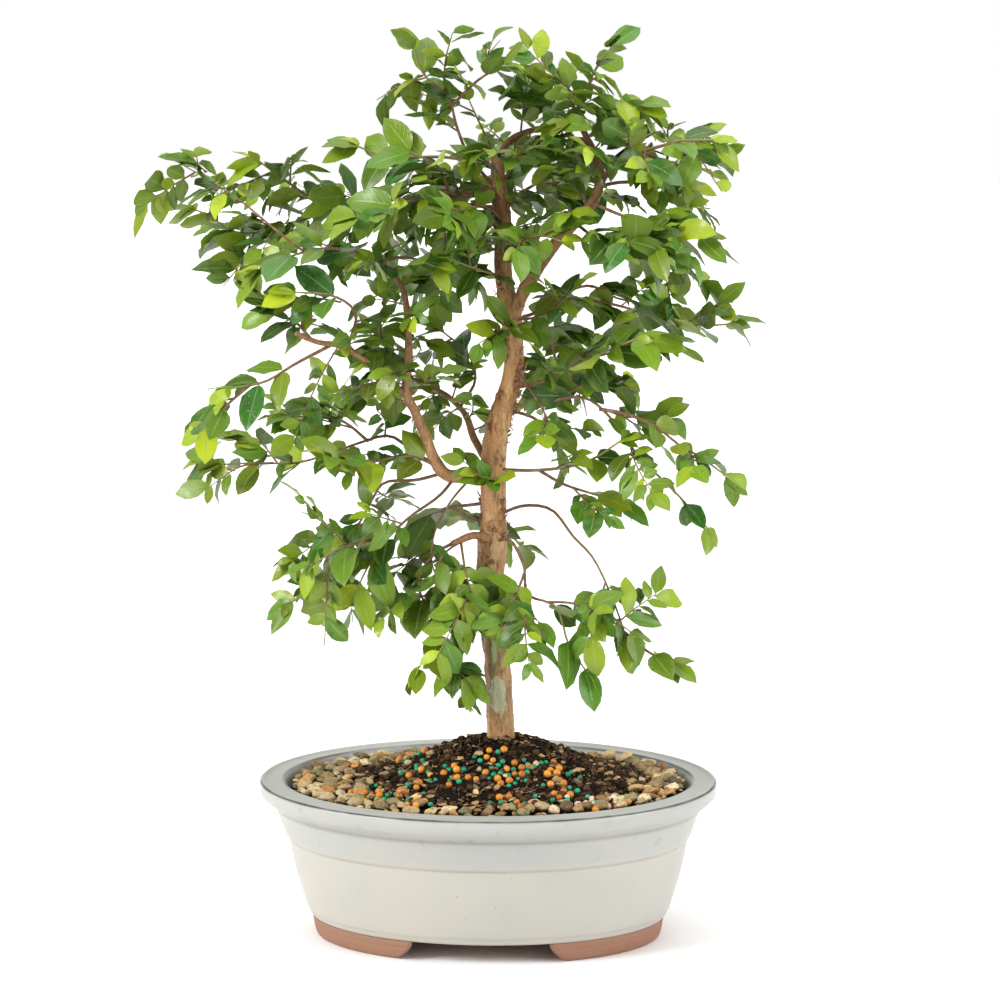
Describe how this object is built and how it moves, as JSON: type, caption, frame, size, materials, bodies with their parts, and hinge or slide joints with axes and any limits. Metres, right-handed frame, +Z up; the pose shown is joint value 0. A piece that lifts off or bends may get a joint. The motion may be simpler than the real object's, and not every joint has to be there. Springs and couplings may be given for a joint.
{
  "type": "potted bonsai tree",
  "caption": "Small-leaved bonsai with an upright flaky trunk and drooping leafy twigs, growing in an oval glazed pot on two unglazed feet, with gravel round the soil.",
  "frame": {"origin": "middle of the whole outline, on the plane that the pot's feet stand on", "axes": "+Z up, -Y towards the front of the tree, +X to the right seen from the front"},
  "size_m": [0.3398, 0.2108, 0.5001],
  "materials": {
    "glazed_pot": "gloss",
    "screen_mesh": "matte",
    "potting_soil": "matte",
    "gravel_stones": "matte",
    "bark": "matte",
    "leaves": "satin"
  },
  "bodies": {
    "root": {"pot": "glazed_pot", "drain_screen_left": "screen_mesh", "drain_screen_right": "screen_mesh", "soil": "potting_soil", "gravel": "gravel_stones", "wood": "bark", "spray_top_left": "leaves", "spray_top_middle": "leaves", "spray_top_right": "leaves", "spray_right_high": "leaves", "spray_right_upper": "leaves", "spray_right_bright": "leaves", "spray_right_front": "leaves", "spray_right_back": "leaves", "spray_right_middle": "leaves", "spray_right_glossy": "leaves", "spray_right_long": "leaves", "spray_right_inner": "leaves", "spray_right_round": "leaves", "spray_right_low": "leaves", "spray_right_arch": "leaves", "spray_pendant": "leaves", "spray_left_under": "leaves", "spray_left_low": "leaves", "spray_left_row": "leaves", "spray_left_far": "leaves", "spray_left_stub": "leaves", "spray_left_bright": "leaves", "spray_left_upper": "leaves", "spray_left_inner": "leaves", "spray_left_front": "leaves", "spray_left_high": "leaves", "spray_crown_left": "leaves", "spray_crown_back": "leaves", "spray_back_left": "leaves", "spray_back_right": "leaves", "spray_back_low": "leaves", "spray_front_leader": "leaves", "spray_front_trunk": "leaves", "spray_trunk_tuft": "leaves", "spray_back_cluster": "leaves", "spray_inner_cluster": "leaves"}
  },
  "joints": []
}
